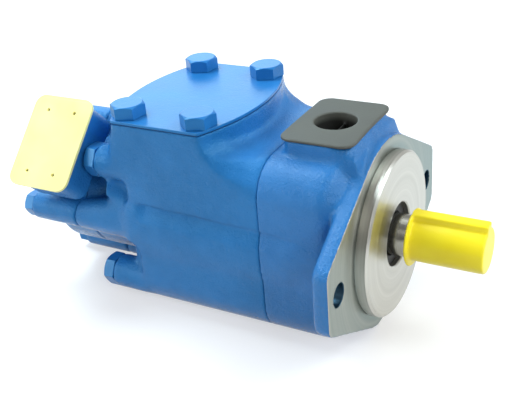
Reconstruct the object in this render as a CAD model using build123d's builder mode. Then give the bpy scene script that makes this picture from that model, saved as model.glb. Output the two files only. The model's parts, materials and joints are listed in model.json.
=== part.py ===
from build123d import *
import os
from math import cos, sin, tan, radians, sqrt

os.makedirs("parts", exist_ok=True)

# The shaft axis is X, the shaft end points to +X, +Z is up.
# x = 0 is the mounting face of the flange.

# ---- general fits ----
seat_gap = 0.05          # between two pieces that are seated in each other
run_gap = 0.04           # radial running clearance
bolt_gap = 0.5           # radial clearance of a bolt in a plain hole
cast_r = 4.0             # small casting fillet

# ---- mounting flange ----
pilot_r = 63.5
pilot_h = 9.5
flange_t = 13.5
flange_hub_r = 74.4
flange_slope = 29.7      # degrees, fall of the two long edges
flange_half_w = 108.0
flange_corner_r = 10.0
flange_bolt_edge = 17.5  # bolt hole centre to the end of the flange
flange_hole_r = 8.75

# ---- common casting section ----
body_half_w = 68.0
body_half_h = 71.5
body_corner_r = 28.0
barrel_r = 71.0
parting_x = -71.5
shoulder_cut = 7.0       # bevel where the casting meets the back of the flange

# ---- outlet 1 ----
outlet_1_x = -38.3
outlet_1_top = 83.3
outlet_1_pad_l = 52.0
outlet_1_pad_w = 80.0
outlet_1_pad_r = 9.0
outlet_1_bore_r = 17.5
outlet_1_neck_top = 76.8    # lower step of the pad, which runs out onto the flange
outlet_1_neck_x = -8.0
outlet_1_neck_foot_x = -4.0
outlet_1_neck_foot_z = 66.0
outlet_1_pitch_x = 30.2
outlet_1_pitch_y = 58.7
outlet_1_tap_r = 5.1
tap_depth = 24.0

# ---- body bolts, front body to housing ----
body_bolt_y = 54.0
body_bolt_z = 51.0
body_bolt_r = 8.0
body_bolt_af = 24.0
body_bolt_head = 10.0
body_bolt_seat_x = -216.0
body_bolt_tip_x = -42.0
column_r = 13.9
column_start_x = -182.0

# ---- inlet box and blanking plate ----
inlet_x = -153.0
box_top = 90.5
box_half_w = body_half_w
box_base_z = 25.0
box_end_r = 140.0
box_half_l = 55.6
box_fillet_r = 17.0
box_draft = 14.0
inlet_bore_r = 38.0
inlet_bolt_end = 24.65   # bolt centre to the curved end of the box, on its middle line
inlet_bolt_side = 14.8   # bolt centre to the side of the box
inlet_bolt_r = 8.0
inlet_bolt_af = 24.0
inlet_bolt_head = 10.0
inlet_bolt_l = 26.0
gasket_t = 0.5
blank_t = 2.2

# ---- rear of the housing and rear cover ----
section_end_x = -197.0
cover_x = -243.0
rear_barrel_r = 52.0
cover_end_x = -290.0
cover_bolt_r_pitch = 57.65
cover_boss_r = 12.0
cover_bolt_r = 6.0
cover_bolt_af = 19.0
cover_bolt_head = 9.0
cover_bolt_l = 26.0
boss_front_x = -176.0
flare_half_w = 13.0      # the side bosses widen to an ellipse where they meet the section
flare_half_h = 21.0
flare_x = -191.0
flare_z = 4.0
pocket_in_y = 58.0       # arched pockets in the rear end of the side walls
pocket_r = 7.0
upper_pocket_x = -187.5
upper_pocket_low = 22.0
upper_pocket_high = 47.0
lower_pocket_x = -184.5
lower_pocket_low = -56.0
lower_pocket_high = -12.0

# ---- outlet 2, on the rear cover, 45 degrees up towards the front ----
outlet_2_x = -256.0
outlet_2_d = 91.0
outlet_2_pad_l = 54.0
outlet_2_pad_w = 72.0
outlet_2_pad_r = 9.0
outlet_2_pad_under = 62.0
outlet_2_bore_r = 11.0
outlet_2_pitch_x = 26.2
outlet_2_pitch_s = 52.4
outlet_2_tap_r = 4.2

# ---- shaft ----
shaft_r = 15.9
shaft_end_x = 75.0
shaft_tail_x = -280.0
bearing_seat_r = 17.5
collar_r = 20.5
collar_w = 5.0
mid_r = 15.4
tail_r = 12.5
key_w = 8.0
key_h = 8.0
key_stand = 4.5
key_l = 38.0
key_end = 8.0

# ---- shaft seal and front bearing ----
seal_bore_r = 24.5
seal_front_x = 5.0
seal_w = 8.0
web_bore_r = 20.0
bearing_front_x = -12.0
bearing_w = 17.0
bearing_r = 36.0
race_t = 5.4
ball_r = 5.6
ball_count = 8
circlip_t = 2.0
circlip_in = 1.6
neck_bore_end_x = -46.0
hub_wall = 6.0

# ---- front cartridge ----
front_od_r = 56.0
front_plate_x = -52.0
front_plate_t = 14.0
front_cam_w = 38.0
front_inlet_t = 12.0
front_major_r = 40.0
front_minor_r = 36.5
front_rotor_r = 36.3
front_chamber_r = 54.0

# ---- rear cartridge ----
rear_od_r = 45.0
rear_plate_end_x = -248.0
rear_plate_t = 14.0
rear_cam_w = 32.0
rear_inlet_t = 12.0
rear_major_r = 31.0
rear_minor_r = 28.5
rear_rotor_r = 28.3
rear_chamber_r = 38.0
rear_chamber_end_x = -268.0

# ---- vanes ----
vane_count = 12
vane_t = 2.4
vane_h = 11.0
vane_tip_gap = 0.1
vane_side_gap = 0.05
insert_h = 4.0
insert_w = 12.0
spline_teeth = 8
spline_w = 5.0
spline_h = 1.9

# ---- static seals ----
seal_groove_d = 2.5
body_seal_in_r = 57.6
body_seal_out_r = 60.6
cover_seal_in_r = 46.6
cover_seal_out_r = 49.4
chamber_r = 48.0
chamber_step = 5.0

# ---- transport caps ----
plug_l = 57.0
plug_w = 82.0
plug_corner_r = 10.0
plug_t = 2.3
plug_gap = 0.2
plug_wall = 1.3
plug_depth = 14.0
plug_hole_r = 16.0
cap_l = 57.5
cap_w = 77.5
cap_corner_r = 9.0
cap_t = 2.3
cap_pin_r = 1.3
cap_spigot = 9.0
sleeve_wall = 1.3
sleeve_x = 20.0
sleeve_collar_r = 22.4
sleeve_collar_w = 2.6
sleeve_end_t = 1.6
inlet_bolt_turn = 20.0

# ---- rear end of the cover ----
cover_body_end_x = -283.0
cover_mid_x = -262.0
bush_r = 17.0
bush_end_x = -280.0
key_x = shaft_end_x - key_end - key_l / 2
sleeve_gap = 0.2
cage_w = 13.0
cage_t = 3.0
clip_mouth = 6.0
kidney_span = 46.0
kidney_start = 22.0
vane_start = 15.0
vane_under = 0.2
vane_tip_bevel = 0.7
ring_w = 3.0
ring_d = 2.5
ring_back = 5.0
neck_step = 1.0
neck_l = 8.0
front_screw_r = 3.0
rear_screw_r = 2.5
screw_head_h = 6.0
screw_head_r_more = 2.0
shaft_clip_t = 1.5

# ---- derived stations ----
face_gap = 0.05
flange_bolt_spacing = 2 * (flange_half_w - flange_bolt_edge)
inlet_pitch_x = 2 * (box_half_l - inlet_bolt_end)
inlet_pitch_y = 2 * (box_half_w - inlet_bolt_side)
flange_end_z = flange_hub_r / cos(radians(flange_slope)) - flange_half_w * tan(radians(flange_slope))
tangent_y = flange_hub_r * sin(radians(flange_slope))
tangent_z = flange_hub_r * cos(radians(flange_slope))
bearing_back_x = bearing_front_x - bearing_w
front_cam_x = front_plate_x - front_plate_t
front_cam_end_x = front_cam_x - front_cam_w
front_inlet_end_x = front_cam_end_x - front_inlet_t
rear_plate_x = rear_plate_end_x + rear_plate_t
rear_cam_x = rear_plate_x + rear_cam_w
rear_inlet_x = rear_cam_x + rear_inlet_t
front_bore_r = front_od_r + seat_gap
rear_bore_r = rear_od_r + seat_gap
box_end_centre_x = inlet_x - box_half_l + box_end_r
box_start_centre_x = inlet_x + box_half_l - box_end_r
plate_top = box_top + gasket_t + blank_t


def corners(y, z):
    """the four corner positions of a rectangular pattern"""
    return [(y, z), (-y, z), (-y, -z), (y, -z)]


def cam_point(r_major, r_minor, deg):
    """point of the two-lobed cam track at an angle, in the Y, Z plane"""
    r = (r_major + r_minor) / 2 - (r_major - r_minor) / 2 * cos(radians(2 * deg))
    return (r * cos(radians(deg)), r * sin(radians(deg)))


# ---------------------------------------------------------------- front body
with BuildPart() as front_section:
    with BuildSketch(Plane.YZ.offset(-flange_t)):
        RectangleRounded(2 * body_half_w, 2 * body_half_h, body_corner_r)
        Circle(barrel_r)
    extrude(amount=parting_x + flange_t)
    front_rim = front_section.faces().sort_by(Axis.X)[-1].edges()
    chamfer(front_rim, shoulder_cut)

with BuildPart() as front_body:
    with BuildSketch(Plane.YZ):
        Polygon(
            (flange_half_w, -flange_end_z),
            (flange_half_w, flange_end_z),
            (tangent_y, tangent_z),
            (-tangent_y, tangent_z),
            (-flange_half_w, flange_end_z),
            (-flange_half_w, -flange_end_z),
            (-tangent_y, -tangent_z),
            (tangent_y, -tangent_z),
            align=None,
        )
        Circle(flange_hub_r)
        with Locations((0, -body_half_h - flange_hub_r)):
            Rectangle(2 * flange_half_w, 2 * flange_hub_r, mode=Mode.SUBTRACT)
    extrude(amount=-flange_t)
    end_edges = front_body.edges().filter_by(Axis.X).filter_by(lambda e: abs(e.center().Y) > flange_half_w - 1)
    fillet(end_edges, flange_corner_r)
    with BuildSketch(Plane.YZ):
        Circle(pilot_r)
    extrude(amount=pilot_h)
    # square section with the round barrel showing at its sides
    add(front_section.part)
    # raised pad of the outlet
    with BuildSketch(Plane.XY.offset(outlet_1_top)):
        with Locations((outlet_1_x, 0)):
            RectangleRounded(outlet_1_pad_l, outlet_1_pad_w, outlet_1_pad_r)
    extrude(amount=-outlet_1_top / 2)
    with BuildSketch(Plane.XZ.offset(-outlet_1_pad_w / 2)):
        Polygon(
            (outlet_1_x, barrel_r),
            (outlet_1_x, outlet_1_neck_top),
            (outlet_1_neck_x, outlet_1_neck_top),
            (outlet_1_neck_foot_x, outlet_1_neck_foot_z),
            (outlet_1_neck_foot_x, body_half_h / 2),
            (outlet_1_x, body_half_h / 2),
            align=None,
        )
    extrude(amount=outlet_1_pad_w)
    # pilot edge
    pilot_edge = front_body.edges().filter_by(GeomType.CIRCLE).sort_by(Axis.X)[-1]
    chamfer(pilot_edge, 1.0)
    # shaft seal recess, web and bearing seat
    with BuildSketch(Plane.YZ.offset(pilot_h)):
        Circle(seal_bore_r)
    extrude(amount=seal_front_x - seal_w - pilot_h, mode=Mode.SUBTRACT)
    with BuildSketch(Plane.YZ.offset(pilot_h)):
        Circle(web_bore_r)
    extrude(amount=bearing_front_x - pilot_h, mode=Mode.SUBTRACT)
    with BuildSketch(Plane.YZ.offset(bearing_front_x)):
        Circle(bearing_r)
    extrude(amount=neck_bore_end_x - bearing_front_x, mode=Mode.SUBTRACT)
    with BuildSketch(Plane.YZ.offset(bearing_back_x)):
        Circle(bearing_r + circlip_in)
    extrude(amount=-circlip_t - face_gap, mode=Mode.SUBTRACT)
    # ring-shaped pressure chamber and cartridge bore
    with BuildSketch(Plane.YZ.offset(bearing_back_x - circlip_t - 2)):
        Circle(front_chamber_r)
        Circle(bearing_r + hub_wall, mode=Mode.SUBTRACT)
    extrude(amount=front_plate_x - bearing_back_x + circlip_t + 2, mode=Mode.SUBTRACT)
    with BuildSketch(Plane.YZ.offset(neck_bore_end_x)):
        Circle(front_chamber_r)
    extrude(amount=front_plate_x - neck_bore_end_x, mode=Mode.SUBTRACT)
    with BuildSketch(Plane.YZ.offset(front_plate_x + face_gap)):
        Circle(front_bore_r)
    extrude(amount=parting_x - front_plate_x - 1, mode=Mode.SUBTRACT)
    # outlet port and its four tapped holes
    with BuildSketch(Plane.XY.offset(outlet_1_top)):
        with Locations((outlet_1_x, 0)):
            Circle(outlet_1_bore_r)
    extrude(amount=bearing_r + hub_wall + 2 - outlet_1_top, mode=Mode.SUBTRACT)
    with BuildSketch(Plane.XY.offset(outlet_1_top)):
        with Locations((outlet_1_x, 0)):
            with GridLocations(outlet_1_pitch_x, outlet_1_pitch_y, 2, 2):
                Circle(outlet_1_tap_r)
    extrude(amount=-tap_depth, mode=Mode.SUBTRACT)
    # flange holes and tapped holes for the body bolts
    with BuildSketch(Plane.YZ):
        with Locations((flange_bolt_spacing / 2, 0), (-flange_bolt_spacing / 2, 0)):
            Circle(flange_hole_r)
    extrude(amount=-flange_t, mode=Mode.SUBTRACT)
    with BuildSketch(Plane.YZ.offset(parting_x)):
        with Locations(*corners(body_bolt_y, body_bolt_z)):
            Circle(body_bolt_r + seat_gap)
    extrude(amount=body_bolt_tip_x + 2 - parting_x, mode=Mode.SUBTRACT)
front_body.part.label = "front_body"
export_step(front_body.part, "parts/front_body.step")

# ------------------------------------------------------------- inlet housing
# saddle: the hollow-curved flank between the inlet box and the front body
with BuildPart() as saddle:
    for dx, rise, r in (
        (0.0, 0.0, body_corner_r),
        (-14.0, 0.2, 20.0),
        (-26.0, 3.0, 13.0),
        (-36.0, 11.5, 8.0),
        (-47.0, 23.5, 3.0),
    ):
        top = body_half_h + rise
        with BuildSketch(Plane.YZ.offset(parting_x + dx)):
            with BuildLine():
                Polyline((-body_half_w, top - r), (-body_half_w, 0), (body_half_w, 0), (body_half_w, top - r))
                RadiusArc((body_half_w, top - r), (body_half_w - r, top), -r)
                Line((body_half_w - r, top), (r - body_half_w, top))
                RadiusArc((r - body_half_w, top), (-body_half_w, top - r), -r)
            make_face()
    loft()
    # cut down to a hollow ring that follows the curved end of the box
    with BuildSketch(Plane.XZ):
        with BuildLine():
            Polyline(
                (inlet_x + box_half_l, body_half_h + box_fillet_r),
                (inlet_x + box_half_l, 2 * box_top),
                (inlet_x + 2 * box_end_r, 2 * box_top),
                (inlet_x + 2 * box_end_r, body_half_h),
                (inlet_x + box_half_l + box_fillet_r, body_half_h),
            )
            RadiusArc(
                (inlet_x + box_half_l + box_fillet_r, body_half_h),
                (inlet_x + box_half_l, body_half_h + box_fillet_r),
                box_fillet_r,
            )
        make_face()
    revolve(axis=Axis((box_start_centre_x, 0, 0), (0, 0, 1)), mode=Mode.SUBTRACT)
    with BuildSketch(Plane.XY.offset(box_top)):
        Rectangle(4 * box_end_r, 4 * box_half_w)
    extrude(amount=box_top, mode=Mode.SUBTRACT)

# box: plan outline with two curved ends, the rear one with draft
with BuildPart() as inlet_box:
    with BuildSketch(Plane.XY.offset(box_base_z)):
        with Locations((inlet_x, 0)):
            Rectangle(3 * box_half_l, 2 * box_half_w)
        with Locations((box_start_centre_x, 0)):
            Circle(box_end_r, mode=Mode.INTERSECT)
    extrude(amount=box_top - box_base_z)
    with BuildSketch(Plane.XZ):
        with BuildLine():
            Polyline(
                (inlet_x - box_half_l - box_end_r, 2 * box_top),
                (inlet_x - box_half_l, 2 * box_top),
                (inlet_x - box_half_l, box_top - blank_t),
                (inlet_x - box_half_l - box_top * tan(radians(box_draft)), 0),
                (inlet_x - box_half_l - box_end_r, 0),
                close=True,
            )
        make_face()
    revolve(axis=Axis((box_end_centre_x, 0, 0), (0, 0, 1)), mode=Mode.SUBTRACT)



def pocket_outline(front_x, low_z, high_z):
    """arch that is open to the rear end of the section, in the X, Z plane"""
    length = 2 * (front_x - section_end_x)
    with BuildSketch() as s:
        with Locations((front_x - length / 2, (low_z + high_z) / 2)):
            RectangleRounded(length, high_z - low_z, pocket_r)
    return s.sketch


with BuildPart() as inlet_housing:
    with BuildSketch(Plane.YZ.offset(parting_x)):
        RectangleRounded(2 * body_half_w, 2 * body_half_h, body_corner_r)
        Circle(barrel_r)
    extrude(amount=section_end_x - parting_x)
    rear_edges = inlet_housing.edges().filter_by(
        lambda e: abs(e.center().X - section_end_x) < 0.05 and e.bounding_box().size.X < 0.1)
    chamfer(rear_edges, 5.0)
    add(inlet_box.part)
    add(saddle.part)
    # round rear barrel, cover bosses and bolt columns
    with BuildSketch(Plane.YZ.offset(cover_x)):
        Circle(rear_barrel_r)
        with PolarLocations(cover_bolt_r_pitch, 4):
            Circle(cover_boss_r)
        with PolarLocations(rear_barrel_r - cover_boss_r, 4):
            Rectangle(2 * cover_boss_r, 2 * cover_boss_r)
    extrude(amount=boss_front_x - cover_x)
    # arched pockets round the bolt columns
    with BuildSketch(Plane.XZ.offset(pocket_in_y)):
        add(pocket_outline(upper_pocket_x, upper_pocket_low, upper_pocket_high))
        add(pocket_outline(lower_pocket_x, lower_pocket_low, lower_pocket_high))
    extrude(amount=body_half_w, mode=Mode.SUBTRACT)
    with BuildSketch(Plane.XZ.offset(-pocket_in_y)):
        add(pocket_outline(upper_pocket_x, upper_pocket_low, upper_pocket_high))
        add(pocket_outline(lower_pocket_x, lower_pocket_low, lower_pocket_high))
    extrude(amount=-body_half_w, mode=Mode.SUBTRACT)
    for side in (1, -1):
        with BuildSketch(Plane.YZ.offset(cover_x + 1)):
            with Locations((side * cover_bolt_r_pitch, 0)):
                Circle(cover_boss_r)
        with BuildSketch(Plane.YZ.offset(flare_x)):
            with Locations((side * (body_half_w - flare_half_w), flare_z)):
                Ellipse(flare_half_w, flare_half_h)
        loft()
    with BuildSketch(Plane.YZ.offset(column_start_x)):
        with Locations(*corners(body_bolt_y, body_bolt_z)):
            Circle(column_r)
    extrude(amount=body_bolt_seat_x - column_start_x)
    # front cartridge bore, seal groove, inlet chamber and rear cartridge bore
    with BuildSketch(Plane.YZ.offset(parting_x)):
        Circle(front_bore_r)
    extrude(amount=front_inlet_end_x - face_gap - parting_x, mode=Mode.SUBTRACT)
    with BuildSketch(Plane.YZ.offset(parting_x)):
        Circle(body_seal_out_r)
        Circle(body_seal_in_r, mode=Mode.SUBTRACT)
    extrude(amount=-seal_groove_d, mode=Mode.SUBTRACT)
    with BuildSketch(Plane.YZ.offset(front_inlet_end_x)):
        Circle(chamber_r)
    extrude(amount=rear_inlet_x + chamber_step - front_inlet_end_x, mode=Mode.SUBTRACT)
    with BuildSketch(Plane.YZ.offset(rear_inlet_x + face_gap)):
        Circle(rear_bore_r)
    extrude(amount=cover_x - rear_inlet_x - face_gap, mode=Mode.SUBTRACT)
    with BuildSketch(Plane.YZ.offset(rear_inlet_x + chamber_step + 1)):
        Circle(rear_od_r - 5)
    extrude(amount=-chamber_step - 2, mode=Mode.SUBTRACT)
    # inlet port, its four tapped holes
    with BuildSketch(Plane.XY.offset(box_top)):
        with Locations((inlet_x, 0)):
            Circle(inlet_bore_r)
    extrude(amount=-box_top, mode=Mode.SUBTRACT)
    with BuildSketch(Plane.XY.offset(box_top)):
        with Locations((inlet_x, 0)):
            with GridLocations(inlet_pitch_x, inlet_pitch_y, 2, 2):
                Circle(inlet_bolt_r + seat_gap)
    extrude(amount=-tap_depth, mode=Mode.SUBTRACT)
    # bolt holes of the body and of the rear cover
    with BuildSketch(Plane.YZ.offset(parting_x)):
        with Locations(*corners(body_bolt_y, body_bolt_z)):
            Circle(body_bolt_r + bolt_gap)
    extrude(amount=body_bolt_seat_x - parting_x, mode=Mode.SUBTRACT)
    with BuildSketch(Plane.YZ.offset(cover_x)):
        with PolarLocations(cover_bolt_r_pitch, 4):
            Circle(cover_bolt_r + seat_gap)
    extrude(amount=cover_bolt_l + 2, mode=Mode.SUBTRACT)
inlet_housing.part.label = "inlet_housing"
export_step(inlet_housing.part, "parts/inlet_housing.step")

# ---------------------------------------------------------------- rear cover
slant = Plane(origin=(outlet_2_x, 0, 0), x_dir=(1, 0, 0), z_dir=(0, -sqrt(0.5), sqrt(0.5)))
with BuildPart() as rear_cover:
    with BuildSketch(Plane.YZ.offset(cover_x)):
        Circle(rear_barrel_r)
        with PolarLocations(rear_barrel_r - cover_boss_r, 4):
            Rectangle(2 * cover_boss_r, 2 * cover_boss_r)
    extrude(amount=cover_body_end_x - cover_x)
    back_edges = rear_cover.edges().filter_by(lambda e: abs(e.center().X - cover_body_end_x) < 0.05)
    chamfer(back_edges.filter_by(lambda e: e.bounding_box().size.X < 0.1), 6.0)
    with BuildSketch(Plane.YZ.offset(cover_x)):
        with PolarLocations(cover_bolt_r_pitch, 4):
            Circle(cover_boss_r)
    extrude(amount=cover_end_x - cover_x)
    # slanted port block: its upper part reaches over the housing, its lower part stays on the cover
    with BuildSketch(slant.offset(outlet_2_d)):
        RectangleRounded(outlet_2_pad_l, outlet_2_pad_w, outlet_2_pad_r)
    extrude(amount=outlet_2_pad_under - outlet_2_d)
    with BuildSketch(slant.offset(outlet_2_pad_under)):
        with Locations((cover_mid_x - outlet_2_x, 0)):
            Rectangle(cover_x - cover_body_end_x - 8, outlet_2_pad_w - 22)
    extrude(amount=rear_chamber_r + 4 - outlet_2_pad_under)
    # pocket of the pressure plate, pressure chamber and shaft bush bore
    with BuildSketch(Plane.YZ.offset(cover_x)):
        Circle(rear_bore_r)
    extrude(amount=rear_plate_end_x - face_gap - cover_x, mode=Mode.SUBTRACT)
    with BuildSketch(Plane.YZ.offset(cover_x)):
        Circle(cover_seal_out_r)
        Circle(cover_seal_in_r, mode=Mode.SUBTRACT)
    extrude(amount=-seal_groove_d, mode=Mode.SUBTRACT)
    with BuildSketch(Plane.YZ.offset(rear_plate_end_x)):
        Circle(rear_chamber_r)
    extrude(amount=rear_chamber_end_x - rear_plate_end_x, mode=Mode.SUBTRACT)
    with BuildSketch(Plane.YZ.offset(rear_chamber_end_x)):
        Circle(bush_r)
    extrude(amount=bush_end_x - 1 - rear_chamber_end_x, mode=Mode.SUBTRACT)
    # outlet port, tapped holes and bolt holes
    with BuildSketch(slant.offset(outlet_2_d)):
        Circle(outlet_2_bore_r)
    extrude(amount=rear_chamber_r - 6 - outlet_2_d, mode=Mode.SUBTRACT)
    with BuildSketch(slant.offset(outlet_2_d)):
        with GridLocations(outlet_2_pitch_x, outlet_2_pitch_s, 2, 2):
            Circle(outlet_2_tap_r)
    extrude(amount=-tap_depth + 4, mode=Mode.SUBTRACT)
    with BuildSketch(Plane.YZ.offset(cover_x)):
        with PolarLocations(cover_bolt_r_pitch, 4):
            Circle(cover_bolt_r + bolt_gap)
    extrude(amount=cover_end_x - cover_x, mode=Mode.SUBTRACT)
rear_cover.part.label = "rear_cover"
export_step(rear_cover.part, "parts/rear_cover.step")

# --------------------------------------------------------------------- bolts
with BuildPart() as body_bolts:
    with BuildSketch(Plane.YZ.offset(body_bolt_seat_x)):
        with Locations(*corners(body_bolt_y, body_bolt_z)):
            RegularPolygon(body_bolt_af / 2, 6, major_radius=False)
    extrude(amount=-body_bolt_head)
    with BuildSketch(Plane.YZ.offset(body_bolt_seat_x)):
        with Locations(*corners(body_bolt_y, body_bolt_z)):
            Circle(body_bolt_r)
    extrude(amount=body_bolt_tip_x - body_bolt_seat_x)
body_bolts.part.label = "body_bolts"
export_step(body_bolts.part, "parts/body_bolts.step")

with BuildPart() as cover_bolts:
    with BuildSketch(Plane.YZ.offset(cover_end_x)):
        with PolarLocations(cover_bolt_r_pitch, 4):
            RegularPolygon(cover_bolt_af / 2, 6, major_radius=False)
    extrude(amount=-cover_bolt_head)
    with BuildSketch(Plane.YZ.offset(cover_end_x)):
        with PolarLocations(cover_bolt_r_pitch, 4):
            Circle(cover_bolt_r)
    extrude(amount=cover_x + cover_bolt_l - cover_end_x)
cover_bolts.part.label = "cover_bolts"
export_step(cover_bolts.part, "parts/cover_bolts.step")

with BuildPart() as inlet_plate_bolts:
    with BuildSketch(Plane.XY.offset(plate_top)):
        with Locations((inlet_x, 0)):
            with GridLocations(inlet_pitch_x, inlet_pitch_y, 2, 2):
                RegularPolygon(inlet_bolt_af / 2, 6, major_radius=False, rotation=inlet_bolt_turn)
    extrude(amount=inlet_bolt_head)
    with BuildSketch(Plane.XY.offset(plate_top)):
        with Locations((inlet_x, 0)):
            with GridLocations(inlet_pitch_x, inlet_pitch_y, 2, 2):
                Circle(inlet_bolt_r)
    extrude(amount=-inlet_bolt_l)
inlet_plate_bolts.part.label = "inlet_plate_bolts"
export_step(inlet_plate_bolts.part, "parts/inlet_plate_bolts.step")


# ------------------------------------------- blanking plate, gasket and caps
def box_outline(hole_r, bolt_hole_r, base_z, height):
    """plate with the plan outline of the inlet box"""
    with BuildPart() as plate:
        with BuildSketch(Plane.XY.offset(base_z)):
            with Locations((inlet_x, 0)):
                Rectangle(3 * box_half_l, 2 * box_half_w)
            with Locations((box_start_centre_x, 0)):
                Circle(box_end_r, mode=Mode.INTERSECT)
            with Locations((box_end_centre_x, 0)):
                Circle(box_end_r, mode=Mode.INTERSECT)
            with Locations((inlet_x, 0)):
                with GridLocations(inlet_pitch_x, inlet_pitch_y, 2, 2):
                    Circle(bolt_hole_r, mode=Mode.SUBTRACT)
                if hole_r > 0:
                    Circle(hole_r, mode=Mode.SUBTRACT)
        extrude(amount=height)
    return plate.part


inlet_plate_gasket = box_outline(inlet_bore_r + 2, inlet_bolt_r + bolt_gap, box_top, gasket_t)
inlet_plate_gasket.label = "inlet_plate_gasket"
export_step(inlet_plate_gasket, "parts/inlet_plate_gasket.step")

inlet_blanking_plate = box_outline(0, inlet_bolt_r + bolt_gap, box_top + gasket_t, blank_t)
inlet_blanking_plate.label = "inlet_blanking_plate"
export_step(inlet_blanking_plate, "parts/inlet_blanking_plate.step")

with BuildPart() as outlet_1_plug:
    with BuildSketch(Plane.XY.offset(outlet_1_top)):
        with Locations((outlet_1_x, 0)):
            RectangleRounded(plug_l, plug_w, plug_corner_r)
    extrude(amount=plug_t)
    with BuildSketch(Plane.XY.offset(outlet_1_top)):
        with Locations((outlet_1_x, 0)):
            Circle(outlet_1_bore_r - plug_gap)
    extrude(amount=-plug_depth)
    with BuildSketch(Plane.XY.offset(outlet_1_top + plug_t)):
        with Locations((outlet_1_x, 0)):
            Circle(plug_hole_r)
    extrude(amount=plug_wall - plug_depth - plug_t, mode=Mode.SUBTRACT)
    # moulded rib across the bottom of the cup
    with BuildSketch(Plane.XY.offset(outlet_1_top - plug_depth + plug_wall)):
        with Locations((outlet_1_x, 0)):
            Rectangle(plug_wall, 1.98 * plug_hole_r)
    extrude(amount=plug_depth / 2)
outlet_1_plug.part.label = "outlet_1_plug"
export_step(outlet_1_plug.part, "parts/outlet_1_plug.step")

with BuildPart() as outlet_2_cap:
    with BuildSketch(slant.offset(outlet_2_d)):
        RectangleRounded(cap_l, cap_w, cap_corner_r)
        with GridLocations(outlet_2_pitch_x, outlet_2_pitch_s, 2, 2):
            Circle(cap_pin_r, mode=Mode.SUBTRACT)
    extrude(amount=cap_t)
    with BuildSketch(slant.offset(outlet_2_d)):
        Circle(outlet_2_bore_r - plug_gap)
        Circle(outlet_2_bore_r - plug_gap - plug_wall, mode=Mode.SUBTRACT)
    extrude(amount=-cap_spigot)
outlet_2_cap.part.label = "outlet_2_cap"
export_step(outlet_2_cap.part, "parts/outlet_2_cap.step")

# -------------------------------------------------------------- static seals
with BuildPart() as body_seal:
    with BuildSketch(Plane.YZ.offset(parting_x)):
        Circle(body_seal_out_r - seat_gap)
        Circle(body_seal_in_r + seat_gap, mode=Mode.SUBTRACT)
    extrude(amount=seat_gap - seal_groove_d)
body_seal.part.label = "body_seal"
export_step(body_seal.part, "parts/body_seal.step")

with BuildPart() as cover_seal:
    with BuildSketch(Plane.YZ.offset(cover_x)):
        Circle(cover_seal_out_r - seat_gap)
        Circle(cover_seal_in_r + seat_gap, mode=Mode.SUBTRACT)
    extrude(amount=seat_gap - seal_groove_d)
cover_seal.part.label = "cover_seal"
export_step(cover_seal.part, "parts/cover_seal.step")

# --------------------------------------------------------------------- shaft
with BuildPart() as drive_shaft:
    for x0, x1, r in (
        (shaft_end_x, seal_front_x - seal_w - 2, shaft_r),
        (seal_front_x - seal_w - 2, bearing_back_x, bearing_seat_r),
        (bearing_back_x, bearing_back_x - collar_w, collar_r),
        (bearing_back_x - collar_w, front_cam_x, bearing_seat_r),
        (front_cam_x, rear_cam_x, mid_r),
        (rear_cam_x, shaft_tail_x, tail_r),
    ):
        with BuildSketch(Plane.YZ.offset(x0)):
            Circle(r)
        extrude(amount=x1 - x0)
    tip_edge = drive_shaft.edges().filter_by(GeomType.CIRCLE).sort_by(Axis.X)[-1]
    chamfer(tip_edge, 1.5)
    # splines that carry the two rotors
    with BuildSketch(Plane.YZ.offset(front_cam_x)):
        with PolarLocations(mid_r - 1, spline_teeth):
            Rectangle(2 + 2 * spline_h, spline_w)
    extrude(amount=-front_cam_w)
    with BuildSketch(Plane.YZ.offset(rear_cam_x)):
        with PolarLocations(tail_r - 1, spline_teeth):
            Rectangle(2 + 2 * spline_h, spline_w)
    extrude(amount=-rear_cam_w)
    # keyway and the groove of the shaft circlip
    with BuildSketch(Plane.XY.offset(shaft_r + key_stand)):
        with Locations((key_x, 0)):
            SlotOverall(key_l, key_w)
    extrude(amount=-key_h - seat_gap, mode=Mode.SUBTRACT)
    with BuildSketch(Plane.YZ.offset(bearing_front_x + face_gap)):
        Circle(bearing_seat_r + 1)
        Circle(bearing_seat_r - circlip_in, mode=Mode.SUBTRACT)
    extrude(amount=shaft_clip_t, mode=Mode.SUBTRACT)
drive_shaft.part.label = "drive_shaft"
export_step(drive_shaft.part, "parts/drive_shaft.step")

with BuildPart() as shaft_key:
    with BuildSketch(Plane.XY.offset(shaft_r + key_stand)):
        with Locations((key_x, 0)):
            SlotOverall(key_l - 2 * seat_gap, key_w - 2 * seat_gap)
    extrude(amount=-key_h)
shaft_key.part.label = "shaft_key"
export_step(shaft_key.part, "parts/shaft_key.step")

# yellow sleeve: round tube, raised over the key, flared collar, closed end
with BuildPart() as shaft_sleeve:
    with BuildSketch(Plane.YZ.offset(sleeve_x)):
        Circle(sleeve_collar_r)
    extrude(amount=sleeve_collar_w, taper=12)
    with BuildSketch(Plane.YZ.offset(sleeve_x)):
        Circle(shaft_r + sleeve_gap + sleeve_wall)
        with Locations((0, shaft_r)):
            Rectangle(key_w + 2 * sleeve_wall + 2 * sleeve_gap, 2 * (key_stand + sleeve_gap + sleeve_wall))
    extrude(amount=shaft_end_x + sleeve_gap + sleeve_end_t - sleeve_x)
    with BuildSketch(Plane.YZ.offset(sleeve_x)):
        Circle(shaft_r + sleeve_gap)
        with Locations((0, shaft_r)):
            Rectangle(key_w + 2 * sleeve_gap, 2 * (key_stand + sleeve_gap))
    extrude(amount=shaft_end_x + sleeve_gap - sleeve_x, mode=Mode.SUBTRACT)
shaft_sleeve.part.label = "shaft_sleeve"
export_step(shaft_sleeve.part, "parts/shaft_sleeve.step")

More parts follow.
